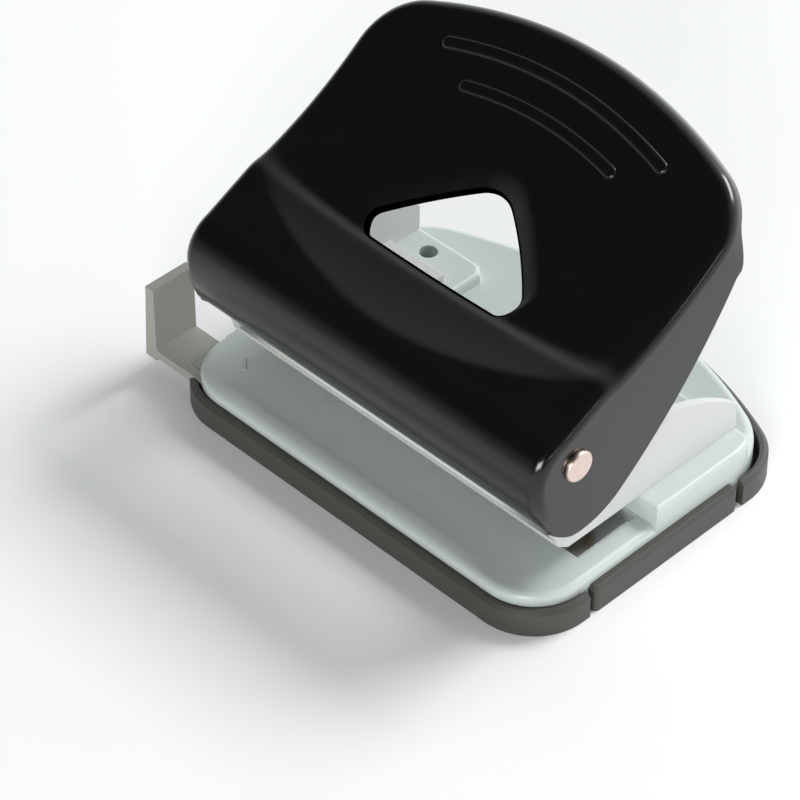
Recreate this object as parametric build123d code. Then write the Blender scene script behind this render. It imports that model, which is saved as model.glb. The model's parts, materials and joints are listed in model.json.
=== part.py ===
from build123d import *
import math
import os

# Two-hole office punch. Millimetres, +Z up, standing on Z = 0.
# X runs across the punch (paper guide at -X), Y from the paper inlet (-Y) to the back.
# The origin is on the underside of the chip tray, on the middle plane of the punch.

# ---- driving dimensions -------------------------------------------------------------
HOLE_SPACING = 80.0      # centre to centre of the two punched holes
PIN_R = 2.75             # 5.5 mm holes
PIN_Y = -8.0             # line of the two pins
PAPER_STOP_Y = 4.0       # step that the paper edge meets, 12 mm behind the pins

PIVOT_Y = -20.0          # handle pivot
PIVOT_Z = 39.0
RIVET_R = 2.5
RUNNING = 0.05           # radial clearance of a running fit

TRAY_FLOOR = 1.5         # thickness of the chip tray's floor
LEDGE_Z = 8.7            # top of the paper ledge and of the die plate
FLOOR_Z = 10.2           # top of the rear floor
SHOULDER_Z = 13.1        # top of the shoulders, underside of the punch frame
RIM_TOP = 6.2            # top of the dark rim

BODY_HALF = 52.0         # light body: half width, front, back
BODY_FRONT = -32.7
BODY_BACK = 50.3
BODY_WALL = 1.6
DIE_SEAT_FRONT = -17.2    # front face of the block under the die plate
RIM_HALF = 54.2          # dark rim: half width, front, back
RIM_FRONT = -34.6
RIM_BACK = 52.5
RIM_T = 1.6

CHEEK_OUT = 46.5         # outer face of the frame's cheeks
STEEL_T = 2.0            # frame and die plate thickness
CHEEK_BACK = 32.2

HANDLE_HALF = 50.0
SKIN = 1.2               # handle sheet
PAD_ANGLE = 27.0         # slope of the pad plane, which touches the hollow pad
PAD_Y = -7.6             # origin of the pad plane, at the crease
PAD_Z = 53.55
PAD_LOW = 12.0           # crease to the line where the pad touches its plane
PAD_SWEEP_R = 101.0      # the pad sweeps up towards the back on this radius
PAD_LENGTH = 51.3        # crease to the middle of the back edge
PAD_LIP = 4.6            # depth of the folded edge
EDGE_R = 2.8             # outer radius of the folds
BEAD_WIDTH = 2.4
BEAD_MIDDLE_X = -0.5
BEAD_HEIGHT = 0.5

GUIDE_Z = 4.4            # underside of the paper guide's arm
GUIDE_T = 2.0
GUIDE_FRONT = -30.6
GUIDE_BACK = -19.2
GUIDE_STOP_X = -60.5     # inner face of the guide's end stop
GUIDE_END_X = 36.0
GUIDE_PLAY = 0.3

# places shared by several pieces
BUSH_R = 4.0
BUSH_COLLAR_Z = SHOULDER_Z + STEEL_T + 1.5
PIN_TIP_Z = SHOULDER_Z + 0.1
PIN_TOP_Z = PIVOT_Z
CLIP_Z = 35.2
CLIP_T = 0.8
FRAME_SCREW_X = 36.0
FRAME_SCREW_Y = (6.0, 13.0)
DIE_RIVET_X = (-25.0, 25.0)
DIE_RIVET_Y = -13.8
RETAINER_TOP = GUIDE_Z - GUIDE_PLAY
RETAINER_POSTS = (-28.0, 28.0)
RETAINER_POST_Y = -16.6
GUIDE_NOTCHES = (-38.0, -12.0, 2.0, 16.0, 30.0)

pad_plane = Plane(
    origin=(0, PAD_Y, PAD_Z),
    x_dir=(1, 0, 0),
    z_dir=(0, -math.sin(math.radians(PAD_ANGLE)), math.cos(math.radians(PAD_ANGLE))),
)


# ---- helpers ------------------------------------------------------------------------
def block(x0, x1, y0, y1, z0, z1):
    """A box from its low and high corners."""
    size = Box(x1 - x0, y1 - y0, z1 - z0)
    return Pos((x0 + x1) / 2, (y0 + y1) / 2, (z0 + z1) / 2) * size


def rod_z(x, y, r, z0, z1):
    """A cylinder along Z."""
    return Pos(x, y, (z0 + z1) / 2) * Cylinder(r, z1 - z0)


def rod_x(y, z, r, x0, x1):
    """A cylinder along X."""
    return Pos((x0 + x1) / 2, y, z) * Rot(0, 90, 0) * Cylinder(r, x1 - x0)


def side_prism(face, x0, x1):
    """Extrude a face drawn in (y, z) from x0 to x1."""
    return Pos(x0, 0, 0) * extrude(Plane.YZ * face, x1 - x0)


def rounded_plan(half, front, back, front_r, back_r, back_bow=14.6):
    """Plan outline of the punch: straight front and sides, bowed back."""
    side_top = back - back_bow
    outline = Polyline((-half, side_top), (-half, front), (half, front), (half, side_top))
    bow = ThreePointArc((half, side_top), (0, back), (-half, side_top))
    face = make_face(outline.edges() + bow.edges())
    face = fillet(face.vertices().sort_by(Axis.Y)[:2], front_r)
    corners = [v for v in face.vertices() if abs(v.Y - side_top) < 0.01]
    return fillet(corners, back_r)


def both_sides(make):
    """Name and shape for the left and the right copy of a piece."""
    return [("left", make(-1)), ("right", make(1))]


# ---- base ---------------------------------------------------------------------------
def body_plan(inset=0.0):
    """Plan of the light body, or of its inside when inset."""
    return rounded_plan(BODY_HALF - inset, BODY_FRONT + inset, BODY_BACK - inset,
                        12.5 - inset, 16.0 - inset)


def shoulder(side):
    """Raised platform beside the frame; the cheek stands on it."""
    inner = 24.5 * side
    outer = (BODY_HALF + 2) * side
    zone = block(min(inner, outer), max(inner, outer), 2.5, 32.7, TRAY_FLOOR + 0.2, SHOULDER_Z)
    part = zone & extrude(body_plan(), SHOULDER_Z)
    upright = [e for e in part.edges().filter_by(Axis.Z) if e.center().Y > 31.5]
    part = fillet([e for e in upright if abs(e.center().X) > 45], 3.5)
    upright = [e for e in part.edges().filter_by(Axis.Z) if e.center().Y > 31.5]
    part = chamfer([e for e in upright if abs(e.center().X - inner) < 0.1], 2.2)
    top = part.faces().sort_by(Axis.Z)[-1]
    return fillet(top.edges(), 1.2)


def base_body():
    """Light moulded base: paper ledge, rear floor and two shoulders, hollow underneath."""
    low = TRAY_FLOOR + 0.2
    ledge = Pos(0, 0, low) * extrude(body_plan(), LEDGE_Z - low)
    ledge = fillet(ledge.faces().sort_by(Axis.Z)[-1].edges(), 1.6)
    rear_zone = block(-60, 60, PAPER_STOP_Y, 60, low, FLOOR_Z)
    rear = rear_zone & (Pos(0, 0, low) * extrude(body_plan(), 20))
    rear_top = rear.faces().sort_by(Axis.Z)[-1]
    rear = fillet([e for e in rear_top.edges() if e.center().Y > PAPER_STOP_Y + 1], 2.4)
    body = ledge + rear + shoulder(-1) + shoulder(1)
    inside = extrude(body_plan(BODY_WALL), 30)
    cavity_front = inside & block(-60, 60, -60, PAPER_STOP_Y, -1, LEDGE_Z - 2)
    cavity_rear = inside & block(-60, 60, PAPER_STOP_Y, 60, -1, FLOOR_Z - 2)
    body = body - cavity_front - cavity_rear
    # seat and window for the die plate
    body += block(-49, 49, DIE_SEAT_FRONT, 3.5, LEDGE_Z - 3.5, LEDGE_Z - 1)
    body -= block(-47, 47, -15, 1.5, LEDGE_Z - STEEL_T, LEDGE_Z + 1)
    body -= block(-44.5, 44.5, -12.5, -1, 0, LEDGE_Z)
    # channel where the paper guide leaves the left side
    body -= block(-60, -42, GUIDE_FRONT - GUIDE_PLAY, GUIDE_BACK + GUIDE_PLAY,
                  GUIDE_Z - GUIDE_PLAY, LEDGE_Z - 2)
    # posts for the guide retainer
    for x in RETAINER_POSTS:
        body += rod_z(x, RETAINER_POST_Y, 1.9, RETAINER_TOP, LEDGE_Z - 2.5)
        body -= rod_z(x, RETAINER_POST_Y, 0.9, 0, LEDGE_Z - 2.2)
    # screw holes for the frame, and one moulded through hole behind each foot
    for side in (-1, 1):
        for y in FRAME_SCREW_Y:
            body -= rod_z(side * FRAME_SCREW_X, y, 1.3, SHOULDER_Z - 5.6, SHOULDER_Z + 1)
        body -= rod_z(side * 37.5, 27.8, 2.1, 0, SHOULDER_Z + 1)
    for x in DIE_RIVET_X:
        body -= rod_z(x, DIE_RIVET_Y, 1.2, 0, LEDGE_Z)
    # raised alignment mark on the ledge
    body += Pos(-41.9, -22.1, LEDGE_Z) * Rot(0, 0, -45) * Box(3.4, 0.5, 0.5)
    return body


def die_plate():
    """Steel plate let into the ledge, with the two cutting holes."""
    plate = block(-46.9, 46.9, -14.9, 1.4, LEDGE_Z - STEEL_T, LEDGE_Z)
    for side in (-1, 1):
        plate -= rod_z(side * HOLE_SPACING / 2, PIN_Y, PIN_R + RUNNING, 0, 20)
    for x in DIE_RIVET_X:
        plate -= rod_z(x, DIE_RIVET_Y, 1.2, 0, 20)
    return plate


def die_rivets():
    """Countersunk rivets, flush with the die plate, headed under the seat."""
    rivets = []
    for x in DIE_RIVET_X:
        shank = rod_z(x, DIE_RIVET_Y, 1.2, LEDGE_Z - STEEL_T - 1.5, LEDGE_Z)
        head = rod_z(x, DIE_RIVET_Y, 2.0, LEDGE_Z - STEEL_T - 2.2, LEDGE_Z - STEEL_T - 1.5)
        rivets.append(shank + head)
    return Compound(children=rivets)


def side_strip(side):
    """Dark strip along the straight side of the base, with rounded ends."""
    x0, x1 = sorted((side * BODY_HALF, side * RIM_HALF))
    strip = block(x0, x1, -17.2, 25.2, 0, RIM_TOP)
    ends = [e for e in strip.edges().filter_by(Axis.Z) if abs(e.center().X) > BODY_HALF + 1]
    strip = fillet(ends, 1.2)
    top = strip.faces().sort_by(Axis.Z)[-1]
    outer = [e for e in top.edges() if abs(e.center().X) > BODY_HALF + 0.5]
    return chamfer(outer, 0.8)


def chip_tray():
    """Dark tray under the whole base; its rim shows all round."""
    plan = rounded_plan(RIM_HALF, RIM_FRONT, RIM_BACK, 13.8, 14.5)
    inner = rounded_plan(RIM_HALF - RIM_T, RIM_FRONT + RIM_T, RIM_BACK - RIM_T, 12.2, 13.0)
    outside = extrude(plan, RIM_TOP)
    outside = chamfer(outside.faces().sort_by(Axis.Z)[-1].edges(), 0.9)
    tray = outside - Pos(0, 0, TRAY_FLOOR) * extrude(inner, 20)
    for side in (-1, 1):
        x0, x1 = sorted((side * (BODY_HALF - 0.3), side * 60))
        tray -= block(x0, x1, -18.8, 26.8, -1, 20)
    # gap for the paper guide, left side
    tray -= block(-60, -45, GUIDE_FRONT - GUIDE_PLAY, -18, 2.5, 20)
    return tray


# ---- punch frame --------------------------------------------------------------------
def cheek_face():
    """Side view of a cheek, in (y, z)."""
    boss = 8.0
    base_front = (-17.5, SHOULDER_Z)
    low_front = (-20.5, SHOULDER_Z + 2.0)
    boss_front = (PIVOT_Y - boss, PIVOT_Z)
    boss_back = (PIVOT_Y + boss * 0.93, PIVOT_Z + boss * 0.37)
    ridge = (6.0, 31.6)
    back_top = (CHEEK_BACK, 19.4)
    lines = [
        Line(base_front, (CHEEK_BACK, SHOULDER_Z)),
        Line((CHEEK_BACK, SHOULDER_Z), back_top),
        ThreePointArc(back_top, (20.5, 27.0), ridge),
        Line(ridge, boss_back),
        ThreePointArc(boss_back, (PIVOT_Y, PIVOT_Z + boss), boss_front),
        Line(boss_front, low_front),
        Line(low_front, base_front),
    ]
    return make_face([edge for line in lines for edge in line.edges()])


def punch_frame():
    """Two cheeks joined by a deck over the slot, with a foot behind the slot each side."""
    frame = None
    for side in (-1, 1):
        x0, x1 = sorted((side * CHEEK_OUT, side * (CHEEK_OUT - STEEL_T)))
        cheek = side_prism(cheek_face(), x0, x1)
        frame = cheek if frame is None else frame + cheek
    reach = CHEEK_OUT - 0.5
    deck = block(-reach, reach, -17.5, 3.4, SHOULDER_Z, SHOULDER_Z + STEEL_T)
    lip = make_face(Polyline(
        (-17.5, SHOULDER_Z), (-20.5, SHOULDER_Z + 2.0), (-21.2, SHOULDER_Z + 3.8),
        (-17.5, SHOULDER_Z + STEEL_T), (-17.5, SHOULDER_Z)).edges())
    frame += deck + side_prism(lip, -reach, reach)
    for side in (-1, 1):
        x0, x1 = sorted((side * 28.0, side * reach))
        frame += block(x0, x1, 3.0, 23.0, SHOULDER_Z, SHOULDER_Z + STEEL_T)
        frame -= rod_z(side * HOLE_SPACING / 2, PIN_Y, BUSH_R, 0, 20)
        for y in FRAME_SCREW_Y:
            frame -= rod_z(side * FRAME_SCREW_X, y, 1.7, 0, 20)
    frame -= rod_x(PIVOT_Y, PIVOT_Z, RIVET_R, -60, 60)
    return frame


def frame_screws():
    """Four pan-head screws that hold the frame's feet to the shoulders."""
    screws = []
    seat = SHOULDER_Z + STEEL_T
    for side in (-1, 1):
        for y in FRAME_SCREW_Y:
            x = side * FRAME_SCREW_X
            head = fillet(rod_z(x, y, 2.8, seat, seat + 1.9).edges().sort_by(Axis.Z)[-1], 0.9)
            slot = block(x - 2.0, x + 2.0, y - 0.35, y + 0.35, seat + 1.1, seat + 3)
            cross = block(x - 0.35, x + 0.35, y - 2.0, y + 2.0, seat + 1.1, seat + 3)
            screws.append(head + rod_z(x, y, 1.3, SHOULDER_Z - 5.4, seat) - slot - cross)
    return Compound(children=screws)


def pin_bush(side):
    """Flanged guide bush pressed into the deck."""
    x = side * HOLE_SPACING / 2
    deck_top = SHOULDER_Z + STEEL_T
    bush = rod_z(x, PIN_Y, BUSH_R, SHOULDER_Z, deck_top)
    bush += rod_z(x, PIN_Y, 4.2, deck_top, BUSH_COLLAR_Z)
    bush += rod_z(x, PIN_Y, 3.3, BUSH_COLLAR_Z, 24.0)
    return bush - rod_z(x, PIN_Y, PIN_R + RUNNING, 0, 40)


def punch_pin(side):
    """Hardened pin: hollow-ground tip, clip groove and domed head."""
    x = side * HOLE_SPACING / 2
    pin = rod_z(x, PIN_Y, PIN_R, PIN_TIP_Z, PIN_TOP_Z)
    pin = fillet(pin.edges().sort_by(Axis.Z)[-1], 1.0)
    hollow_r = 4.0
    hollow = Pos(x, PIN_Y, PIN_TIP_Z - hollow_r + 1.2) * Rot(90, 0, 0) * Cylinder(hollow_r, 20)
    groove = rod_z(x, PIN_Y, 5, CLIP_Z, CLIP_Z + CLIP_T) - rod_z(x, PIN_Y, 2.2, 0, 60)
    return pin - hollow - groove


def pin_clip(side):
    """Open retaining ring that seats the return spring on the pin."""
    x = side * HOLE_SPACING / 2
    ring = rod_z(x, PIN_Y, 4.1, CLIP_Z, CLIP_Z + CLIP_T) - rod_z(x, PIN_Y, 2.2, 0, 60)
    return ring - block(x - 1.6, x + 1.6, PIN_Y - 6, PIN_Y, CLIP_Z - 1, CLIP_Z + 2)


def return_spring(side):
    """Compression spring between the bush collar and the clip."""
    wire_r = 0.35
    low = BUSH_COLLAR_Z + wire_r + 0.05
    high = CLIP_Z - wire_r - 0.05
    coil = Helix(pitch=(high - low) / 7, height=high - low, radius=3.85)
    start = Plane(origin=coil @ 0, z_dir=coil % 0)
    spring = sweep(start * Circle(wire_r), path=coil, is_frenet=True)
    return Pos(side * HOLE_SPACING / 2, PIN_Y, low) * spring


def pivot_rivet(side):
    """Flat-headed rivet, its shank riding in the handle flange."""
    inner = side * (CHEEK_OUT - STEEL_T)
    outer = side * HANDLE_HALF
    x0, x1 = sorted((inner, outer + side * 0.1))
    rivet = rod_x(PIVOT_Y, PIVOT_Z, RIVET_R, x0, x1)
    h0, h1 = sorted((outer + side * 0.1, outer + side * 1.2))
    head = rod_x(PIVOT_Y, PIVOT_Z, 3.45, h0, h1)
    rim = head.edges().filter_by(GeomType.CIRCLE).sort_by(Axis.X)[-1 if side > 0 else 0]
    t0, t1 = sorted((inner, inner - side * 0.9))
    tail = rod_x(PIVOT_Y, PIVOT_Z, 3.6, t0, t1)
    return rivet + fillet(rim, 0.6) + tail


def pivot_washer(side):
    """Spacer between cheek and handle flange."""
    x0, x1 = sorted((side * CHEEK_OUT, side * (HANDLE_HALF - SKIN - 0.1)))
    return rod_x(PIVOT_Y, PIVOT_Z, 5.5, x0, x1) - rod_x(PIVOT_Y, PIVOT_Z, RIVET_R, -60, 60)


# ---- handle -------------------------------------------------------------------------
def pad_point(v, depth=0.0):
    """Place in (y, z) on the pad, v along the pad plane, or on the arc below it."""
    slope = math.radians(PAD_ANGLE)
    radius = PAD_SWEEP_R + depth
    turn = math.asin((v - PAD_LOW) / PAD_SWEEP_R)
    run = PAD_LOW + radius * math.sin(turn)
    rise = PAD_SWEEP_R - radius * math.cos(turn)
    y = PAD_Y + run * math.cos(slope) - rise * math.sin(slope)
    z = PAD_Z + run * math.sin(slope) + rise * math.cos(slope)
    return (y, z)


def pad_arc(v0, v1, depth=0.0):
    """Arc of the pad's side view, at a depth below its outer face."""
    return ThreePointArc(pad_point(v0, depth), pad_point((v0 + v1) / 2, depth), pad_point(v1, depth))


def handle_side_face():
    """Side view of the handle in (y, z): hood, crease, pad and the free lower edge."""
    reach = PAD_LENGTH + 8
    lip_start = 36.0
    hood_front = (-31.3, 38.0)
    hood_top = (-24.4, 47.3)
    crest = (-11.96, 53.02)
    valley = (-9.86, 53.68)
    flange_low = (-20.4, 20.4)
    flange_turn = (-6.0, 24.7)
    flange_high = (23.6, 58.2)
    lip_corner = pad_point(lip_start, PAD_LIP)
    lines = [
        ThreePointArc(flange_low, (-28.3, 27.2), hood_front),
        ThreePointArc(hood_front, (-29.4, 43.8), hood_top),
        Line(hood_top, crest),
        ThreePointArc(crest, (-10.93, 53.43), valley),
        ThreePointArc(valley, (-8.88, 53.89), pad_point(0)),
        pad_arc(0, reach),
        Line(pad_point(reach), pad_point(reach, PAD_LIP)),
        pad_arc(reach, lip_start, PAD_LIP),
        Line(lip_corner, flange_high),
        ThreePointArc(flange_high, (8.6, 38.2), flange_turn),
        ThreePointArc(flange_turn, (-13.2, 20.9), flange_low),
    ]
    return make_face([edge for line in lines for edge in line.edges()])


def handle_plan(inset=0.0):
    """Plan of the handle in the pad plane: straight sides, rounded corners, bowed back."""
    half = HANDLE_HALF - inset
    back = PAD_LENGTH - inset
    bow = 11.5
    sides = Polyline((-half, back - bow), (-half, -60), (half, -60), (half, back - bow))
    arc = ThreePointArc((half, back - bow), (0, back), (-half, back - bow))
    face = make_face(sides.edges() + arc.edges())
    corners = [v for v in face.vertices() if v.Y > 0]
    return fillet(corners, 14.9 - inset)


def window_face(grow=0.0):
    """Rounded triangular finger window with bowed sides, in the pad plane."""
    front, top, half = -1.6, 19.3, 22.8
    bulge = (12.25, 9.75)
    right = ThreePointArc((half, front), bulge, (0, top))
    left = ThreePointArc((0, top), (-bulge[0], bulge[1]), (-half, front))
    tri = make_face(Line((-half, front), (half, front)).edges() + right.edges() + left.edges())
    tri = fillet(tri.vertices().sort_by(Axis.Y)[-1:], 7.0)
    tri = fillet([v for v in tri.vertices() if v.Y < front + 0.5], 2.8)
    return offset(tri, amount=grow) if grow else tri


def bead(crown, half_x, bow):
    """Arc-shaped raised bead across the pad; crown is its furthest point from the crease."""
    mid, end_y = BEAD_MIDDLE_X, crown - bow
    path = ThreePointArc((mid - half_x, end_y), (mid, crown), (mid + half_x, end_y))
    flat = trace(path, line_width=BEAD_WIDTH)
    for x in (mid - half_x, mid + half_x):
        flat += Pos(x, end_y) * Circle(BEAD_WIDTH / 2)
    low, high = 0.4, -BEAD_HEIGHT
    band = make_face(
        pad_arc(20, 55, high).edges() + pad_arc(20, 55, low).edges()
        + Line(pad_point(20, high), pad_point(20, low)).edges()
        + Line(pad_point(55, high), pad_point(55, low)).edges())
    return (pad_plane * extrude(flat, 20)) & side_prism(band, -HANDLE_HALF, HANDLE_HALF)


def hood_edges(solid):
    """Edges where the top skin turns down into the flanges and the back lip."""
    centre = Vector(0, *pad_point(PAD_LOW, -PAD_SWEEP_R))
    chosen = []
    for edge in solid.edges():
        middle = edge @ 0.5
        radius = math.hypot(middle.Y - centre.Y, middle.Z - centre.Z)
        on_pad = abs(radius - PAD_SWEEP_R) < 0.05 and middle.Y > PAD_Y + 0.1
        at_side = abs(abs(middle.X) - HANDLE_HALF) < 0.01
        on_hood = at_side and middle.Y < PAD_Y and middle.Z > 24.9
        if on_pad or on_hood:
            chosen.append(edge)
    return chosen


def handle():
    """Pressed sheet handle: hood, flanges, pad with a folded lip, window and beads."""
    profile = handle_side_face()
    slab = extrude(pad_plane * handle_plan(), 60, both=True)
    outer = side_prism(profile, -HANDLE_HALF, HANDLE_HALF) & slab
    outer = fillet(hood_edges(outer), EDGE_R)
    inner_half = HANDLE_HALF - SKIN
    hollow = side_prism(offset(profile, amount=-SKIN), -inner_half, inner_half)
    lip_middle = (SKIN + PAD_LIP) / 2
    below = make_face(
        Polyline(pad_point(60, lip_middle), (60, 0), (-40, 0), (-40, 25), (-25, 25), (-22, 30),
                 (-5, 33), (18, 59), pad_point(33, lip_middle)).edges()
        + pad_arc(33, 60, lip_middle).edges())
    inner_slab = extrude(pad_plane * handle_plan(SKIN), 60, both=True)
    shell = outer - (hollow & inner_slab)
    shell -= side_prism(below, -inner_half, inner_half) & inner_slab
    collar = extrude(pad_plane * window_face(SKIN), 3.2, both=True)
    shell += collar & side_prism(profile, -inner_half, inner_half)
    shell -= extrude(pad_plane * window_face(), 20, both=True)
    shell -= rod_x(PIVOT_Y, PIVOT_Z, RIVET_R + RUNNING, -60, 60)
    shell += bead(42.7, 29.0, 4.2)
    shell += bead(35.0, 19.8, 2.2)
    return shell


def pressure_bar():
    """Steel bar hung from the hood by a tab at each end; its round nose pushes both pins."""
    nose_r = 3.0
    nose_y, nose_z = PIN_Y, PIVOT_Z + 3.4
    reach = 43.8
    bar = rod_x(nose_y, nose_z, nose_r, -reach, reach)
    web = make_face(Polyline(
        (-11.0, nose_z), (-12.4, 45.5), (-12.4, 46.8), (-10.4, 46.8), (-9.0, 45.0),
        (-9.0, nose_z), (-11.0, nose_z)).edges())
    bar += side_prism(web, -reach, reach)
    tab = make_face(Polyline(
        (-12.4, 46.0), (-12.4, 48.6), (-20.2, 45.6), (-20.8, 47.2), (-16.2, 49.4), (-12.6, 50.2),
        (-10.4, 50.4), (-10.4, 46.0), (-12.4, 46.0)).edges())
    return bar + side_prism(tab, -reach, -38.5) + side_prism(tab, 38.5, reach)


# ---- paper guide --------------------------------------------------------------------
def paper_guide():
    """Flat arm with an upright end stop, sliding out of the left side."""
    top = GUIDE_Z + GUIDE_T
    arm = block(GUIDE_STOP_X - 2.0, GUIDE_END_X, GUIDE_FRONT, GUIDE_BACK, GUIDE_Z, top)
    foot_z, head_z = GUIDE_Z - 0.9, 22.7
    stop_side = make_face(Polyline(
        (GUIDE_STOP_X, foot_z), (GUIDE_STOP_X, head_z), (GUIDE_STOP_X - 2.4, head_z),
        (GUIDE_STOP_X - 3.4, foot_z), (GUIDE_STOP_X, foot_z)).edges())
    stop = Pos(0, GUIDE_BACK, 0) * extrude(Plane.XZ * stop_side, GUIDE_BACK - GUIDE_FRONT)
    trim_front = Pos(0, GUIDE_FRONT, 22.0) * Rot(-4, 0, 0) * Box(20, 2, 60)
    trim_back = Pos(0, GUIDE_BACK + 0.2, 22.0) * Rot(4, 0, 0) * Box(20, 2, 60)
    above = block(-80, -50, -50, 0, top, 40)
    stop = stop - ((trim_front + trim_back) & above)
    guide = arm + stop
    for x in GUIDE_NOTCHES:
        guide -= rod_z(x, GUIDE_BACK + 0.3, 0.8, 0, 20)
    # raised frame with three bars, standing for the format marks
    place = Pos(-50.3, (GUIDE_FRONT + GUIDE_BACK) / 2, top)
    frame = place * extrude(RectangleRounded(4.6, 8.4, 1), 0.2)
    well = place * extrude(RectangleRounded(3.6, 7.4, 0.6), 1)
    bars = Pos(-50.3, -27.2, top + 0.05) * Box(2.2, 0.8, 0.2)
    for y in (-24.9, -22.6):
        bars += Pos(-50.3, y, top + 0.05) * Box(2.2, 0.8, 0.2)
    return guide + (frame - well) + bars


def guide_retainer():
    """Plate under the guide's arm, screwed to two posts of the base."""
    plate = block(-41, 41, GUIDE_FRONT - 0.2, -14.8, RETAINER_TOP - 1.5, RETAINER_TOP)
    for side in (-1, 1):
        x0, x1 = sorted((side * 32, side * 47))
        plate -= block(x0, x1, -17.6, -14, 0, 10)
    for x in RETAINER_POSTS:
        plate -= rod_z(x, RETAINER_POST_Y, 1.1, 0, 10)
        plate -= rod_z(x, RETAINER_POST_Y, 2.0, 0, RETAINER_TOP - 0.6)
    return plate


def retainer_screws():
    """Two screws that hold the retainer to the posts."""
    screws = []
    for x in RETAINER_POSTS:
        head = rod_z(x, RETAINER_POST_Y, 1.9, RETAINER_TOP - 1.45, RETAINER_TOP - 0.6)
        screws.append(head + rod_z(x, RETAINER_POST_Y, 0.9, RETAINER_TOP - 0.6, LEDGE_Z - 2.4))
    return Compound(children=screws)


def guide_click_spring():
    """Leaf with a rounded nose that drops into the guide's notches."""
    back = DIE_SEAT_FRONT - 0.15
    mid = GUIDE_BACK + 0.45
    x0, x1, xm = -24.0, 0.0, -12.0
    strip = trace(Polyline((x0, back), (xm - 5, back), (xm - 1.2, mid + 0.2), (xm, mid),
                           (xm + 1.2, mid + 0.2), (xm + 5, back), (x1, back)), line_width=0.3)
    return Pos(0, 0, RETAINER_TOP + 0.3) * extrude(strip, 1.7)


PARTS = {
    "base_body": base_body,
    "die_plate": die_plate,
    "die_rivets": die_rivets,
    "chip_tray": chip_tray,
    "punch_frame": punch_frame,
    "frame_screws": frame_screws,
    "handle": handle,
    "pressure_bar": pressure_bar,
    "paper_guide": paper_guide,
    "guide_retainer": guide_retainer,
    "retainer_screws": retainer_screws,
    "guide_click_spring": guide_click_spring,
}
PAIRS = {
    "side_strip": side_strip,
    "pin_bush": pin_bush,
    "punch_pin": punch_pin,
    "pin_clip": pin_clip,
    "return_spring": return_spring,
    "pivot_rivet": pivot_rivet,
    "pivot_washer": pivot_washer,
}

os.makedirs("parts", exist_ok=True)
for name, make in PARTS.items():
    export_step(make(), f"parts/{name}.step")
for name, make in PAIRS.items():
    for hand, shape in both_sides(make):
        export_step(shape, f"parts/{name}_{hand}.step")
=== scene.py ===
import json
import math
import bpy
import numpy as np
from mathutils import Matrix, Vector
from mathutils.geometry import delaunay_2d_cdt


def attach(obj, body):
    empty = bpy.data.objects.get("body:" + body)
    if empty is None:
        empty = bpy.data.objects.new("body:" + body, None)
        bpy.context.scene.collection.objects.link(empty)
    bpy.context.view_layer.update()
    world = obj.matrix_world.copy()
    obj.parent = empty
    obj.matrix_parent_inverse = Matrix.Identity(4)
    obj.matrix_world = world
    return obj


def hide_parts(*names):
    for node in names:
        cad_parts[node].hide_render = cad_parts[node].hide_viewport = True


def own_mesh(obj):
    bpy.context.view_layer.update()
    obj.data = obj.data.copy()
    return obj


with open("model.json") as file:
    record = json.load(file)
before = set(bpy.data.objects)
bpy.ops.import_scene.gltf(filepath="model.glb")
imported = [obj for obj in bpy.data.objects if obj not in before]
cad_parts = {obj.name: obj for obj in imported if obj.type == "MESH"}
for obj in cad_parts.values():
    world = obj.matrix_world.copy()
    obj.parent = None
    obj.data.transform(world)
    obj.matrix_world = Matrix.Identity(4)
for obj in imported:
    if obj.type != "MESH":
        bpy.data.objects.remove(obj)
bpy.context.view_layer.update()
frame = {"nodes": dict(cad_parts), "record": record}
nodes = frame["nodes"]
scene = bpy.context.scene
MM = 0.001

# ---- the handle's driving dimensions, in millimetres, as in the CAD ------------------
# The run v goes along the pad's plane, and along the sheet round the front of the hood.
HALF = 50.0                     # half the width over the flanges
SHEET = 1.2                     # thickness of the steel
RIM_BULGE = 0.32                # how far the cut edges of the sheet are rounded out
FOLD_R = 2.8                    # fold from the pad to the flanges and the back lip
FRONT_FOLD_R = 0.5              # the same fold at the lower corners of the hood
PAD_ANGLE = math.radians(27.0)  # slope of the pad's plane at rest
PAD_Y, PAD_Z = -7.6, 53.55      # the point of that plane where the run is 0
PAD_LOW = 12.0                  # run where the hollow pad touches its plane
PAD_SWEEP_R = 101.0             # radius of the pad's hollow
LIP = 4.2                       # depth of the back lip
BACK_V = 51.3                   # run of the back edge on the middle line
BOW = 11.5                      # how far the back edge bows out
CORNER_R = 14.9                 # back corners, in plan
HOOD_END_Z = 25.0               # below this the hood's front belongs to the flanges' edge
WINDOW_FRONT, WINDOW_TOP, WINDOW_HALF = -1.6, 19.3, 22.8
WINDOW_BULGE = (12.25, 9.75)    # a point on the bowed right side, in (x, v)
WINDOW_TOP_R, WINDOW_LOW_R = 7.0, 2.8
WINDOW_ROLL = 1.1               # radius of the window's rolled edge
SCOOP_HALF = 46.0               # half width of the scoop from the crest to the window
SCOOP_DEPTH = 3.6
DISH_DEPTH, DISH_WIDTH = 3.0, 7.5   # the dish round the window
PRESS_SOFT = 0.7                # rounding of both, as the sigma of a normal curve
BEADS = [(42.7, 29.0, 4.2), (35.0, 19.8, 2.2)]   # crown's run, half width, bow
BEAD_MID = -0.5                 # x of the beads' crowns
BEAD_HALF = 1.35                # half the width of a bead's ridge
BEAD_RISE = 0.5
PROFILE_SOFT = 0.95             # rounding of the side profile, likewise
EDGE_SOFT = 1.1                 # rounding of the flanges' lower edge, likewise
FLANGE_DEPTH_MORE = 7.0         # how much deeper than the lip the skirt is where a flange starts
STEP = 0.1                      # spacing of the points on the side profile
GRID = 0.25                     # spacing of the grid that holds the pressing
MESH = 0.75                     # spacing of the mesh where nothing calls for less


def unit(a):
    """The same vectors with length 1."""
    return a / np.maximum(np.linalg.norm(a, axis=-1, keepdims=True), 1e-9)


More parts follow.
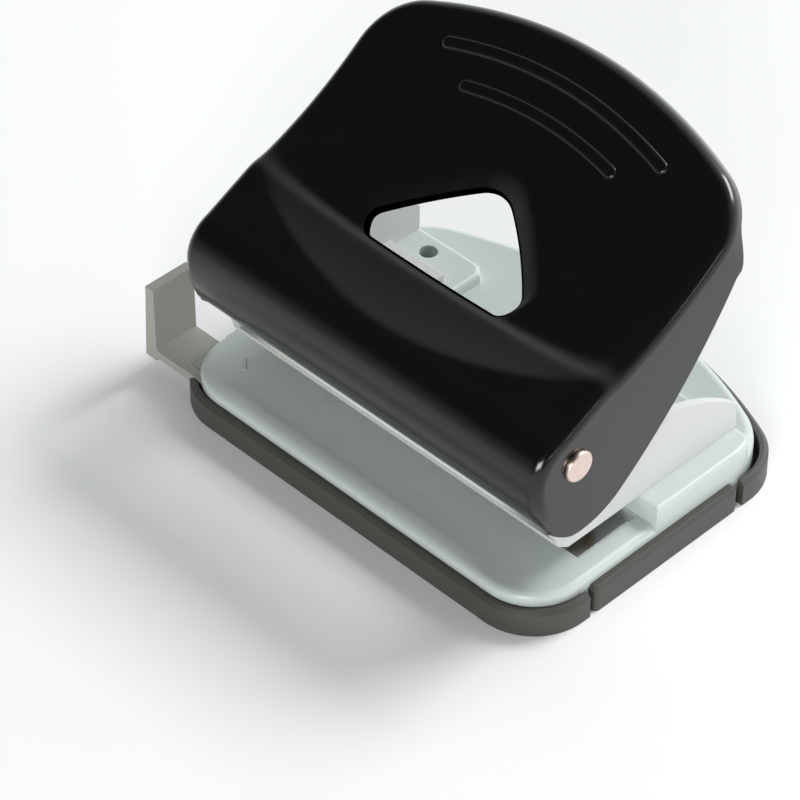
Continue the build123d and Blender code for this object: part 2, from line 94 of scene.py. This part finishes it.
def arc3(a, b, c, n):
    """Points on the circular arc from a through b to c."""
    a, b, c = (np.array(p, float) for p in (a, b, c))
    d = 2 * (a[0] * (b[1] - c[1]) + b[0] * (c[1] - a[1]) + c[0] * (a[1] - b[1]))
    ux = (a @ a * (b[1] - c[1]) + b @ b * (c[1] - a[1]) + c @ c * (a[1] - b[1])) / d
    uy = (a @ a * (c[0] - b[0]) + b @ b * (a[0] - c[0]) + c @ c * (b[0] - a[0])) / d
    mid = np.array([ux, uy])
    r = np.linalg.norm(a - mid)
    ang = [math.atan2(*(p - mid)[::-1]) for p in (a, b, c)]
    turn = (ang[2] - ang[0]) % (2 * math.pi)
    if (ang[1] - ang[0]) % (2 * math.pi) > turn:
        turn -= 2 * math.pi
    t = ang[0] + turn * np.linspace(0, 1, n)
    return mid + r * np.stack([np.cos(t), np.sin(t)], 1)


def path_length(pts):
    """Length along a polyline up to each of its points."""
    return np.concatenate([[0], np.cumsum(np.linalg.norm(np.diff(pts, axis=0), axis=1))])


def resample(pts, step):
    """The same polyline with points an even distance apart."""
    pts = np.asarray(pts, float)
    s = path_length(pts)
    n = max(2, int(round(s[-1] / step)) + 1)
    t = np.linspace(0, s[-1], n)
    return np.stack([np.interp(t, s, pts[:, k]) for k in range(pts.shape[1])], 1)


def bell(sigma, step, reach):
    """Weights of a normal curve, reach steps to each side, which add up to 1."""
    k = np.exp(-0.5 * (np.arange(-reach, reach + 1) * step / sigma) ** 2)
    return k / k.sum()


def soften(pts, sigma, step):
    """Round the corners of an evenly spaced line; its ends stay."""
    reach = int(4 * sigma / step)
    k = bell(sigma, step, reach)
    n = np.arange(1, reach + 1)[:, None]
    head = pts[0] + (pts[0] - pts[1]) * n[::-1]
    tail = pts[-1] + (pts[-1] - pts[-2]) * n
    longer = np.concatenate([head, pts, tail])
    return np.stack([np.convolve(longer[:, i], k, "valid") for i in range(pts.shape[1])], 1)


def smooth(t):
    """An even S-shaped step from 0 to 1."""
    t = np.clip(t, 0, 1)
    return t * t * (3 - 2 * t)


def nearest(points, line):
    """Distance from each point to the nearest point of a dense line."""
    out = np.empty(len(points))
    for i in range(0, len(points), 4000):
        some = points[i:i + 4000]
        out[i:i + 4000] = np.sqrt(((some[:, None] - line[None]) ** 2).sum(2)).min(1)
    return out


def in_loop(p, loop):
    """Which points lie inside a closed loop."""
    x, y = p[:, 0], p[:, 1]
    odd = np.zeros(len(p), bool)
    for (x0, y0), (x1, y1) in zip(loop, np.roll(loop, -1, 0)):
        if y0 != y1:
            odd ^= ((y0 > y) != (y1 > y)) & (x < (x1 - x0) * (y - y0) / (y1 - y0) + x0)
    return odd


# ---- side profile of the sheet's outer face: hood, crest, valley, pad ----------------
along = np.array([math.cos(PAD_ANGLE), math.sin(PAD_ANGLE)])
pad_zero = np.array([PAD_Y, PAD_Z])
# all in (y, z)
front_arc = arc3((-20.4, 20.4), (-28.3, 27.2), (-31.3, 38.0), 200)
hood_arc = arc3((-31.3, 38.0), (-29.4, 43.8), (-24.4, 47.3), 120)
crest, valley = (-12.0, 53.4), (-9.2, 53.85)
pad_v = np.linspace(0, 60, 240)[:, None]
pad_rise = PAD_SWEEP_R - np.sqrt(PAD_SWEEP_R ** 2 - (pad_v - PAD_LOW) ** 2)
pad_line = pad_zero + along * pad_v + np.array([-along[1], along[0]]) * pad_rise
raw = np.concatenate([front_arc[:-1], hood_arc, [crest, valley], pad_line])
profile = soften(resample(raw, STEP), PROFILE_SOFT, STEP)
BEHIND_HOOD_Y, HOOD_TOP_Y = -15, -22
keep = (profile[:, 1] > HOOD_END_Z) | (profile[:, 0] > BEHIND_HOOD_Y)
hood_low = profile[~keep]
profile = profile[keep]
run = (profile - pad_zero) @ along
turn = np.argmax(profile[:, 0] > HOOD_TOP_Y)    # from here on the run is measured on the pad
length = path_length(profile)
run[:turn] = run[turn] - (length[turn] - length[:turn])
slope = unit(np.gradient(profile, run, axis=0))
FRONT_V = run[0]


def on_profile(v):
    """Place and outward normal in (y, z) of the profile at run v."""
    y, z = np.interp(v, run, profile[:, 0]), np.interp(v, run, profile[:, 1])
    t = unit(np.stack([np.interp(v, run, slope[:, 0]), np.interp(v, run, slope[:, 1])], -1))
    return np.stack([y, z], -1), np.stack([-t[..., 1], t[..., 0]], -1)


def window_loop(grow, n):
    """Outline of the window in (x, v), grown outwards: a triangle of arcs with round corners."""
    a, m, t = (np.array(p) for p in ((WINDOW_HALF, WINDOW_FRONT), WINDOW_BULGE, (0.0, WINDOW_TOP)))
    chord = t - a
    half = 0.5 * np.linalg.norm(chord)
    out = np.array([-chord[1], chord[0]]) / (-2 * half)
    sag = (m - 0.5 * (a + t)) @ out
    big = (half ** 2 + sag ** 2) / (2 * sag)
    centre = 0.5 * (a + t) + out * (sag - big)
    top_r, low_r = WINDOW_TOP_R, WINDOW_LOW_R
    top = np.array([0.0, centre[1] + math.sqrt((big - top_r) ** 2 - centre[0] ** 2)])
    low_v = WINDOW_FRONT + low_r
    low = np.array([centre[0] + math.sqrt((big - low_r) ** 2 - (low_v - centre[1]) ** 2), low_v])
    a_low = math.atan2(*(low - centre)[::-1])
    a_top = math.atan2(*(top - centre)[::-1])
    right = []
    for c, r, a0, a1, n_arc in ((low, low_r, -math.pi / 2, a_low, 30),
                                (centre, big, a_low, a_top, 60),
                                (top, top_r, a_top, math.pi / 2, 30)):
        ang = np.linspace(a0, a1, n_arc)
        right.append(c + (r + grow) * np.stack([np.cos(ang), np.sin(ang)], 1))
    right = np.concatenate(right)
    left = right[::-1] * np.array([-1.0, 1.0])
    loop = np.concatenate([right, left, right[:1]])
    s = path_length(loop)
    t = np.linspace(0, s[-1], n + 1)[:-1]
    return np.stack([np.interp(t, s, loop[:, k]) for k in (0, 1)], 1)


window_edge = window_loop(0.0, 400)


def away_from_window(x, v):
    """Distance from the window's outline."""
    return nearest(np.stack([np.ravel(x), np.ravel(v)], 1), window_edge).reshape(np.shape(x))


bead_lines = [arc3((BEAD_MID - half_x, crown - bow), (BEAD_MID, crown),
                   (BEAD_MID + half_x, crown - bow), 400) for crown, half_x, bow in BEADS]


def from_beads(x, v):
    """Distance from the nearest bead's middle line; far away it is only a large number."""
    p = np.stack([np.ravel(x), np.ravel(v)], 1)
    out = np.full(len(p), 99.0)
    near = (p[:, 1] > 25) & (np.abs(p[:, 0]) < 36)
    out[near] = np.minimum(*(nearest(p[near], line) for line in bead_lines))
    return out.reshape(np.shape(x))


GRID_X = np.arange(-HALF, HALF + GRID / 2, GRID)
GRID_V = np.arange(-46.0, 58.0 + GRID / 2, GRID)


def pressed_grid():
    """Depth of the pressing on an even grid: the scoop from the crest down to the window, and
    the dish round the window."""
    x, v = np.meshgrid(GRID_X, GRID_V)
    u = np.clip(np.abs(x) / SCOOP_HALF, 0, 1)
    bow = 1 - u ** 2
    depth = SCOOP_DEPTH * bow ** 0.9
    crest_v = -5.2 - 12.5 * bow     # the scoop starts at a crest that bows forward,
    low_v = WINDOW_FRONT - 0.6      # is deepest at the window's front edge,
    fall = np.clip((v - crest_v) / (low_v - crest_v), 0, 1)
    fall = fall * (1.25 - 0.25 * fall)
    back = np.clip((v - low_v) / 10.0, 0, 1)    # and runs out behind it
    scoop = depth * np.where(v < low_v, fall, (1 - back) ** 2 * (1 + 1.2 * back))
    away = away_from_window(x, v)
    inside = in_loop(np.stack([x.ravel(), v.ravel()], 1), window_edge).reshape(x.shape)
    away = np.where(inside, 0, away)
    w = np.clip(away / DISH_WIDTH, 0, 1)
    dish = DISH_DEPTH * (1 - w) ** 2 * (1 + 0.5 * w)
    reach = 16
    k = bell(PRESS_SOFT, GRID, reach)
    wide = np.pad(-np.maximum(scoop, dish), reach, mode="edge")
    wide = np.apply_along_axis(lambda line: np.convolve(line, k, "valid"), 0, wide)
    return np.apply_along_axis(lambda line: np.convolve(line, k, "valid"), 1, wide)


def sample(grid, x, v):
    """Smooth look-up in the grid, with cubic weights."""
    fx, fv = (np.ravel(x) - GRID_X[0]) / GRID, (np.ravel(v) - GRID_V[0]) / GRID
    ix, iv = np.floor(fx).astype(int), np.floor(fv).astype(int)
    tx, tv = fx - ix, fv - iv

    def weights(t):
        return ((1 - t) ** 3 / 6, (3 * t ** 3 - 6 * t ** 2 + 4) / 6,
                (-3 * t ** 3 + 3 * t ** 2 + 3 * t + 1) / 6, t ** 3 / 6)

    total = 0.0
    for a, wa in zip((-1, 0, 1, 2), weights(tx)):
        for b, wb in zip((-1, 0, 1, 2), weights(tv)):
            row = np.clip(iv + b, 0, len(GRID_V) - 1)
            column = np.clip(ix + a, 0, len(GRID_X) - 1)
            total = total + wa * wb * grid[row, column]
    return total.reshape(np.shape(x))


pressed = pressed_grid()


def relief(x, v):
    """Height of the pressed shape over the plain sheet, along its normal."""
    b = from_beads(x, v) / BEAD_HALF
    bead = BEAD_RISE * np.sqrt(np.clip(1 - np.clip(b, 0, 1) ** 2.6, 0, 1))
    return sample(pressed, x, v) + bead


def place(x, v):
    """3-D place of the outer face at (x, v)."""
    x, v = np.asarray(x, float), np.asarray(v, float)
    yz, n = on_profile(v)
    h = relief(x, v)
    return np.stack([x, yz[..., 0] + n[..., 0] * h, yz[..., 1] + n[..., 1] * h], -1)


def facing(x, v):
    """Outward normal of the pressed face at (x, v), from the slope over a short way."""
    e = 0.06
    gx = place(x + e, v) - place(x - e, v)
    gv = place(x, v + e) - place(x, v - e)
    return unit(np.cross(gx, gv))


def outline():
    """Outer outline in (x, v) from the left front over the back to the right front, and its
    outward direction."""
    big = (HALF ** 2 + BOW ** 2) / (2 * BOW)
    mid_v = BACK_V - big
    cx = HALF - CORNER_R
    cv = mid_v + math.sqrt((big - CORNER_R) ** 2 - cx ** 2)
    a1 = math.atan2(cv - mid_v, cx)
    side_v = np.arange(FRONT_V, cv, 0.7)
    pts = [np.stack([np.full(len(side_v), HALF), side_v], 1)]
    dirs = [np.tile([1.0, 0.0], (len(side_v), 1))]
    a = np.linspace(0, a1, 22)[:-1]
    u = np.stack([np.cos(a), np.sin(a)], 1)
    pts.append(np.array([cx, cv]) + CORNER_R * u)
    dirs.append(u)
    a = np.linspace(a1, math.pi / 2, 50)
    u = np.stack([np.cos(a), np.sin(a)], 1)
    pts.append(np.array([0, mid_v]) + big * u)
    dirs.append(u)
    pts, dirs = np.concatenate(pts), np.concatenate(dirs)
    flip = np.array([-1.0, 1.0])
    pts = np.concatenate([pts * flip, pts[-2::-1]])
    dirs = np.concatenate([dirs * flip, dirs[-2::-1]])
    return pts, dirs


def free_edge():
    """Lower edge of a flange in (y, z), from where the back lip starts to the hood's front, and
    the length along it."""
    low = arc3((24.4, 59.4), (8.8, 38.5), (-6.0, 24.7), 80)
    turn = arc3((-6.0, 24.7), (-13.2, 20.9), (-20.4, 20.4), 60)
    line = np.concatenate([low, turn[1:], hood_low[hood_low[:, 1] > 20.3]])
    line = soften(resample(line, STEP), EDGE_SOFT, STEP)
    return line, path_length(line)


def free_points(outer_loop):
    """Mesh points inside the pad: even rows, with rings round the window and along the beads."""
    extra = []
    for grow in (0.35, 0.75, 1.2, 1.7, 2.3, 3.0, 3.8):
        extra.append(window_loop(WINDOW_ROLL + grow, int(240 + grow * 8)))
    for line in bead_lines:
        t = resample(line, 0.55)
        g = unit(np.gradient(t, axis=0))
        side = np.stack([-g[:, 1], g[:, 0]], 1)
        for off in (0, 0.45, 0.85, 1.12, 1.27, 1.35, 1.42, 1.6, 2.0):
            for sign in ((1, -1) if off else (1,)):
                extra.append(t + side * off * sign)
            if off:
                for end, sgn in ((0, -1), (-1, 1)):
                    a = np.linspace(-math.pi / 2, math.pi / 2, 11)[1:-1, None]
                    out = g[end] * sgn
                    extra.append(t[end] + off * (np.cos(a) * out + np.sin(a) * side[end]))
    gx, gv = np.meshgrid(np.arange(0.5 - HALF, HALF - 0.4, MESH),
                         np.arange(FRONT_V + 0.6, BACK_V, MESH))
    g = np.stack([gx.ravel(), gv.ravel()], 1)
    g = g[(nearest(g, outer_loop[::2]) > 0.7) & (np.abs(g[:, 0]) < HALF - FOLD_R - 0.3)]
    inside = in_loop(g, window_edge)
    g = g[(away_from_window(g[:, 0], g[:, 1]) > WINDOW_ROLL + 4.2) & ~inside]
    g = g[from_beads(g[:, 0], g[:, 1]) > 2.3]
    g = g[in_loop(g, outer_loop)]
    return np.concatenate([g] + extra)


def triangulated(outer_loop, hole):
    """Points (x, v) and triangles of the pad between its outline and the window, and the new
    number of each point of the two loops."""
    n0, n1 = len(outer_loop), len(hole)
    given = np.concatenate([outer_loop, hole, free_points(outer_loop)])
    edges = [(i, (i + 1) % n0) for i in range(n0)]
    edges += [(n0 + i, n0 + (i + 1) % n1) for i in range(n1)]
    out = delaunay_2d_cdt([Vector(p) for p in given], edges, [], 0, 1e-4)
    flat = np.array([tuple(p) for p in out[0]])
    tri = np.array([f for f in out[2] if len(f) == 3])
    mid = flat[tri].mean(1)
    tri = tri[in_loop(mid, outer_loop) & ~in_loop(mid, hole)]
    a, b, c = flat[tri[:, 0]], flat[tri[:, 1]], flat[tri[:, 2]]
    area = (b[:, 0] - a[:, 0]) * (c[:, 1] - a[:, 1]) - (b[:, 1] - a[:, 1]) * (c[:, 0] - a[:, 0])
    tri = tri[np.abs(area) > 1e-7]
    area = area[np.abs(area) > 1e-7]
    tri[area < 0] = tri[area < 0][:, ::-1]
    number = {k: i for i, sources in enumerate(out[3]) for k in sources}
    return flat, tri, number


def handle_mesh():
    """Outer face of the handle: points, normals and faces."""
    pts, dirs = outline()
    count = len(pts)
    # the fold's radius fades out at the hood's lower corners
    fade = smooth((pts[:, 1] - FRONT_V) / 7.0)
    fold = FRONT_FOLD_R + (FOLD_R - FRONT_FOLD_R) * fade
    inner = pts - dirs * fold[:, None]
    edge_x = np.arange(-HALF + 1.2, HALF - 1.1, 0.8)
    front_row = np.stack([edge_x[::-1], np.full(len(edge_x), FRONT_V)], 1)
    outer_loop = np.concatenate([inner, front_row])
    hole = window_loop(WINDOW_ROLL, 260)
    flat, tri, number = triangulated(outer_loop, hole)
    verts = [place(flat[:, 0], flat[:, 1])]
    norms = [facing(flat[:, 0], flat[:, 1])]
    faces = [tuple(t) for t in tri]
    total = len(flat)

    # the fold round the sides and back, and the skirt below it
    p0 = place(inner[:, 0], inner[:, 1])
    up = facing(inner[:, 0], inner[:, 1])
    _, n2 = on_profile(inner[:, 1])
    tangent_v = np.stack([np.zeros(count), n2[:, 1], -n2[:, 0]], 1)
    w = unit(dirs[:, :1] * np.array([[1.0, 0, 0]]) + dirs[:, 1:] * tangent_v)
    row = [number[i] for i in range(count)]
    for ang in np.radians([15, 30, 45, 60, 75, 90]):
        q = p0 + fold[:, None] * (math.sin(ang) * w - (1 - math.cos(ang)) * up)
        nn = math.sin(ang) * w + math.cos(ang) * up
        row, total = add_row(verts, norms, faces, row, q, nn, total)
    wall_top = q
    # lower edge of the skirt, point by point: the lip at the back, the flanges at the sides
    line, s = free_edge()
    side = np.abs(dirs[:, 0]) > 0.999
    corner_v = pts[side, 1].max()
    deep = LIP + FLANGE_DEPTH_MORE * (1 - smooth((pts[:, 1:] - corner_v) / 7.5))
    bottom = p0 + fold[:, None] * w - deep * up
    frac = np.clip((corner_v - pts[:, 1]) / (corner_v - FRONT_V), 0, 1)
    # the points of the skirt's edge crowd a little towards the corner
    at = (0.55 * frac + 0.45 * frac ** 1.6) * s[-1]
    bottom[side, 1] = np.interp(at[side], s, line[:, 0])
    bottom[side, 2] = np.interp(at[side], s, line[:, 1])
    bottom[side, 0] = np.sign(pts[side, 0]) * HALF
    for t in (0.12, 0.3, 0.5, 0.7, 0.88, 1.0):
        q = wall_top + t * (bottom - wall_top)
        row, total = add_row(verts, norms, faces, row, q, w, total)

    # the window's edge rolls down
    hp = place(hole[:, 0], hole[:, 1])
    hn = facing(hole[:, 0], hole[:, 1])
    ht = unit(np.roll(hp, -1, 0) - np.roll(hp, 1, 0))
    hw = unit(np.cross(hn, ht))
    row = [number[len(outer_loop) + i] for i in range(len(hole))]
    for ang in np.radians([14, 28, 42, 56, 70, 80]):
        q = hp + WINDOW_ROLL * (math.sin(ang) * hw - (1 - math.cos(ang)) * hn)
        nn = math.sin(ang) * hw + math.cos(ang) * hn
        row, total = add_row(verts, norms, faces, row, q, nn, total, True, True)
    drop = math.cos(ang) * hw - math.sin(ang) * hn
    for length in (0.25, 0.5):
        row, total = add_row(verts, norms, faces, row, q + drop * length, nn, total, True, True)
    return np.concatenate(verts), np.concatenate(norms), faces


def add_row(verts, norms, faces, row, q, nn, total, closed=False, flip=False):
    """Join a new row of points to the last one with quads. Returns the new row's numbers and
    the new count of points."""
    new = list(range(total, total + len(q)))
    last = len(q) if closed else len(q) - 1
    for i in range(last):
        j = (i + 1) % len(q)
        quad = (row[i], row[j], new[j], new[i])
        faces.append(quad[::-1] if flip else quad)
    verts.append(q)
    norms.append(nn)
    return new, total + len(q)


def sheet_object(name, verts, norms, faces, thick, rim_bulge, material):
    """A closed sheet from its outer face: the inner face, and a rounded rim along every edge."""
    used = {(k, f[(i + 1) % len(f)]): True for f in faces for i, k in enumerate(f)}
    nxt = {a: b for (a, b) in used if (b, a) not in used}
    n = len(verts)
    all_v, all_n, all_f = [verts, verts - thick * norms], [norms, -norms], list(faces)
    all_f += [tuple(k + n for k in f[::-1]) for f in faces]
    total = 2 * n
    while nxt:
        start = next(iter(nxt))
        loop = [start]
        cur = nxt.pop(start)
        while cur != start:
            loop.append(cur)
            cur = nxt.pop(cur)
        idx = np.array(loop)
        p, q = verts[idx], norms[idx]
        t = unit(np.roll(p, -1, 0) - np.roll(p, 1, 0))
        e = unit(np.cross(t, q))
        mid = p - 0.5 * thick * q
        rows = [idx]
        for ang in np.radians([30, 60, 90, 120, 150]):
            all_v.append(mid + 0.5 * thick * math.cos(ang) * q + rim_bulge * math.sin(ang) * e)
            all_n.append(unit(math.cos(ang) * q + math.sin(ang) * e))
            rows.append(np.arange(total, total + len(idx)))
            total += len(idx)
        rows.append(idx + n)
        for r0, r1 in zip(rows, rows[1:]):
            for i in range(len(idx)):
                j = (i + 1) % len(idx)
                all_f.append((int(r0[j]), int(r0[i]), int(r1[i]), int(r1[j])))
    mesh = bpy.data.meshes.new(name)
    mesh.from_pydata([tuple(map(float, p)) for p in np.concatenate(all_v) * MM], [],
                     [tuple(map(int, f)) for f in all_f])
    mesh.validate()
    mesh.polygons.foreach_set("use_smooth", [True] * len(mesh.polygons))
    mesh.normals_split_custom_set_from_vertices(
        [tuple(map(float, p)) for p in np.concatenate(all_n)])
    mesh.update()
    mesh.materials.append(material)
    return linked(name, mesh)


def linked(name, data):
    """A new object in the scene."""
    obj = bpy.data.objects.new(name, data)
    scene.collection.objects.link(obj)
    return obj


# ---- materials ------------------------------------------------------------------------
MIX_A, MIX_B, MIX_OUT = 6, 7, 2     # the colour sockets of a Mix node


def finish_material(name, colour, rough, metal=0.0, tone=0.04, rough_vary=0.06, grain=0.0004,
                    bump=0.05, wear=0.0, wear_colour=None, coat=0.0, coat_rough=0.05, specular=0.5,
                    edge_mm=0.25, blotch=0.012):
    """A procedural finish: drifting tone, fine grain in the surface, roughness that varies and
    edges worn lighter. blotch and grain are the sizes of the drift and the grain in metres."""
    m = bpy.data.materials.new(name)
    m.use_nodes = True
    nt = m.node_tree
    nt.nodes.clear()
    link = nt.links.new

    def node(kind, **values):
        """A new node; a value goes to the input of that name (_ for a space), or else to the
        node's own property."""
        nd = nt.nodes.new(kind)
        for key, value in values.items():
            socket = key.replace("_", " ")
            if socket in nd.inputs:
                nd.inputs[socket].default_value = value
            else:
                setattr(nd, key, value)
        return nd

    out = node("ShaderNodeOutputMaterial")
    bsdf = node("ShaderNodeBsdfPrincipled", Metallic=metal, Coat_Weight=coat,
                Coat_Roughness=coat_rough, Specular_IOR_Level=specular)
    link(bsdf.outputs[0], out.inputs[0])
    co = node("ShaderNodeTexCoord")
    large = node("ShaderNodeTexNoise", Scale=1 / blotch, Detail=3.0)
    fine = node("ShaderNodeTexNoise", Scale=1 / grain, Detail=2.0)
    link(co.outputs["Object"], large.inputs["Vector"])
    link(co.outputs["Object"], fine.inputs["Vector"])
    mixed = node("ShaderNodeMix", data_type="RGBA")
    mixed.inputs[MIX_A].default_value = [c * (1 - tone) for c in colour] + [1.0]
    mixed.inputs[MIX_B].default_value = [min(1.0, c * (1 + tone)) for c in colour] + [1.0]
    link(large.outputs["Fac"], mixed.inputs[0])
    colour_out = mixed.outputs[MIX_OUT]
    bevel = node("ShaderNodeBevel", samples=4, Radius=edge_mm * MM)
    if wear > 0:
        geo = node("ShaderNodeNewGeometry")
        dot = node("ShaderNodeVectorMath", operation="DOT_PRODUCT")
        link(bevel.outputs[0], dot.inputs[0])
        link(geo.outputs["Normal"], dot.inputs[1])
        edge = node("ShaderNodeMapRange", From_Min=0.995, From_Max=0.90, To_Min=0.0, To_Max=wear)
        link(dot.outputs["Value"], edge.inputs["Value"])
        patchy = node("ShaderNodeMath", operation="MULTIPLY")
        link(edge.outputs[0], patchy.inputs[0])
        link(fine.outputs["Fac"], patchy.inputs[1])
        worn = node("ShaderNodeMix", data_type="RGBA")
        worn.inputs[MIX_B].default_value = list(wear_colour) + [1.0]
        link(patchy.outputs[0], worn.inputs[0])
        link(colour_out, worn.inputs[MIX_A])
        colour_out = worn.outputs[MIX_OUT]
    link(colour_out, bsdf.inputs["Base Color"])
    rough_map = node("ShaderNodeMapRange", To_Min=max(0.02, rough - rough_vary),
                     To_Max=rough + rough_vary)
    link(large.outputs["Fac"], rough_map.inputs["Value"])
    link(rough_map.outputs[0], bsdf.inputs["Roughness"])
    bumped = node("ShaderNodeBump", Strength=bump, Distance=0.1 * MM)
    link(fine.outputs["Fac"], bumped.inputs["Height"])
    link(bevel.outputs[0], bumped.inputs["Normal"])
    link(bumped.outputs[0], bsdf.inputs["Normal"])
    return m


def srgb(r, g, b):
    """Linear colour of an 8-bit screen colour."""
    return [((c / 255 + 0.055) / 1.055) ** 2.4 if c > 10 else c / 255 / 12.92 for c in (r, g, b)]


FINISH = {
    "handle_paint": dict(colour=srgb(13, 13, 12), rough=0.18, tone=0.12, rough_vary=0.03,
                         grain=0.0006, bump=0.03, coat=0.2, coat_rough=0.1, specular=0.38,
                         edge_mm=0.2),
    "frame_paint": dict(colour=srgb(208, 209, 206), rough=0.42, tone=0.02, bump=0.12,
                        grain=0.0005, wear=0.3, wear_colour=srgb(240, 240, 238)),
    "base_plastic": dict(colour=srgb(197, 206, 201), rough=0.26, tone=0.02, bump=0.05, wear=0.25,
                         wear_colour=srgb(226, 232, 229), edge_mm=0.35),
    "tray_plastic": dict(colour=srgb(68, 67, 63), rough=0.5, tone=0.08, bump=0.35, grain=0.0003,
                         wear=0.35, wear_colour=srgb(120, 118, 112)),
    "guide_plastic": dict(colour=srgb(157, 158, 150), rough=0.5, tone=0.04, bump=0.2,
                          grain=0.0003, wear=0.4, wear_colour=srgb(196, 197, 190)),
    "rivet_nickel": dict(colour=srgb(228, 206, 196), rough=0.34, metal=1.0, tone=0.16, bump=0.5,
                         grain=0.0005, blotch=0.0014, rough_vary=0.12),
    "bright_steel": dict(colour=srgb(200, 201, 202), rough=0.28, metal=1.0, tone=0.06, bump=0.2),
    "plain_steel": dict(colour=srgb(170, 171, 172), rough=0.32, metal=1.0, tone=0.08, bump=0.2),
    "pin_steel": dict(colour=srgb(185, 186, 188), rough=0.2, metal=1.0, tone=0.05, bump=0.1),
    "bush_brass": dict(colour=srgb(205, 172, 108), rough=0.3, metal=1.0, tone=0.08, bump=0.15),
    "washer_nylon": dict(colour=srgb(228, 228, 222), rough=0.45, tone=0.03, bump=0.1),
}
materials = {name: finish_material(name, **values) for name, values in FINISH.items()}
slot_of = {p["node"]: p["material_slot"] for p in frame["record"]["subparts"]}
for name, obj in nodes.items():
    for k in range(max(1, len(obj.material_slots))):
        if not obj.material_slots:
            obj.data.materials.append(materials[slot_of[name]])
        obj.material_slots[k].material = materials[slot_of[name]]

# ---- the pressed handle ----------------------------------------------------------------
shell = sheet_object("handle_shell", *handle_mesh(), SHEET, RIM_BULGE, materials["handle_paint"])
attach(shell, "handle")
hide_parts("handle")

# ---- the return springs, copied with meshes of their own and fixed to the base (in the real punch they shorten as the pins go down) ---
PIN_X, PIN_Y = 0.04, -0.008
for side, x in (("left", -PIN_X), ("right", PIN_X)):
    coil = linked("coil_" + side, nodes["return_spring_" + side].data.copy())
    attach(coil, "base")
    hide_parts("return_spring_" + side)
    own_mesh(coil)

# ---- stage, light and camera -------------------------------------------------------------
FAR = 3.0
floor_mesh = bpy.data.meshes.new("floor")
floor_mesh.from_pydata([(-FAR, -FAR, 0), (FAR, -FAR, 0), (FAR, FAR, 0), (-FAR, FAR, 0)], [],
                       [(0, 1, 2, 3)])
floor_mesh.materials.append(finish_material("floor_white", srgb(254, 254, 254), 0.9, tone=0.003,
                                            bump=0.0, specular=0.1))
floor = linked("floor", floor_mesh)


def softbox(name, direction, distance, width, height, power):
    """A rectangular light that faces the object from a direction; sizes in metres, watts."""
    lamp = bpy.data.lights.new(name, "AREA")
    lamp.shape = "RECTANGLE"
    lamp.size, lamp.size_y = width, height
    lamp.energy = power
    obj = linked(name, lamp)
    d = Vector(direction).normalized()
    obj.location = d * distance
    obj.rotation_euler = d.to_track_quat("Z", "Y").to_euler()


softbox("key", (0.18, 0.72, 0.68), 1.5, 0.7, 0.5, 15)
softbox("side", (0.96, -0.1, 0.32), 1.6, 0.6, 0.05, 0.8)
softbox("front", (0.5, -0.85, 0.38), 1.8, 0.9, 0.5, 19)

world = bpy.data.worlds.new("studio")
scene.world = world
world.use_nodes = True
wt = world.node_tree
wt.nodes.clear()
w_out = wt.nodes.new("ShaderNodeOutputWorld")
w_bg = wt.nodes.new("ShaderNodeBackground")
w_co = wt.nodes.new("ShaderNodeTexCoord")
w_parts = wt.nodes.new("ShaderNodeSeparateXYZ")
wt.links.new(w_co.outputs["Generated"], w_parts.inputs[0])


def ramp(socket, start, end, low, high):
    """A straight ramp of the world's brightness between two values of a direction's part."""
    node = wt.nodes.new("ShaderNodeMapRange")
    for name, value in (("From Min", start), ("From Max", end), ("To Min", low), ("To Max", high)):
        node.inputs[name].default_value = value
    wt.links.new(w_parts.outputs[socket], node.inputs["Value"])
    return node.outputs[0]


# brighter towards the back, and a little towards the horizon
w_sum = wt.nodes.new("ShaderNodeMath")
w_sum.operation = "ADD"
wt.links.new(ramp("Y", -0.02, 0.9, 0.06, 1.35), w_sum.inputs[0])
wt.links.new(ramp("Z", 0.42, 0.0, 0.0, 0.5), w_sum.inputs[1])
wt.links.new(w_sum.outputs[0], w_bg.inputs["Strength"])
w_bg.inputs["Color"].default_value = (0.93, 0.97, 1.0, 1.0)
wt.links.new(w_bg.outputs[0], w_out.inputs[0])

camera = bpy.data.cameras.new("camera")
camera.lens = 162.0
camera.sensor_width = 36.0
camera.clip_start = 0.01
cam = linked("camera", camera)
cam.location = (0.3850, -0.3996, 0.5055)
cam.rotation_euler = (math.radians(48.31), 0.0, math.radians(45.25))
scene.camera = cam
scene.view_settings.view_transform = "Standard"

bpy.context.view_layer.update()
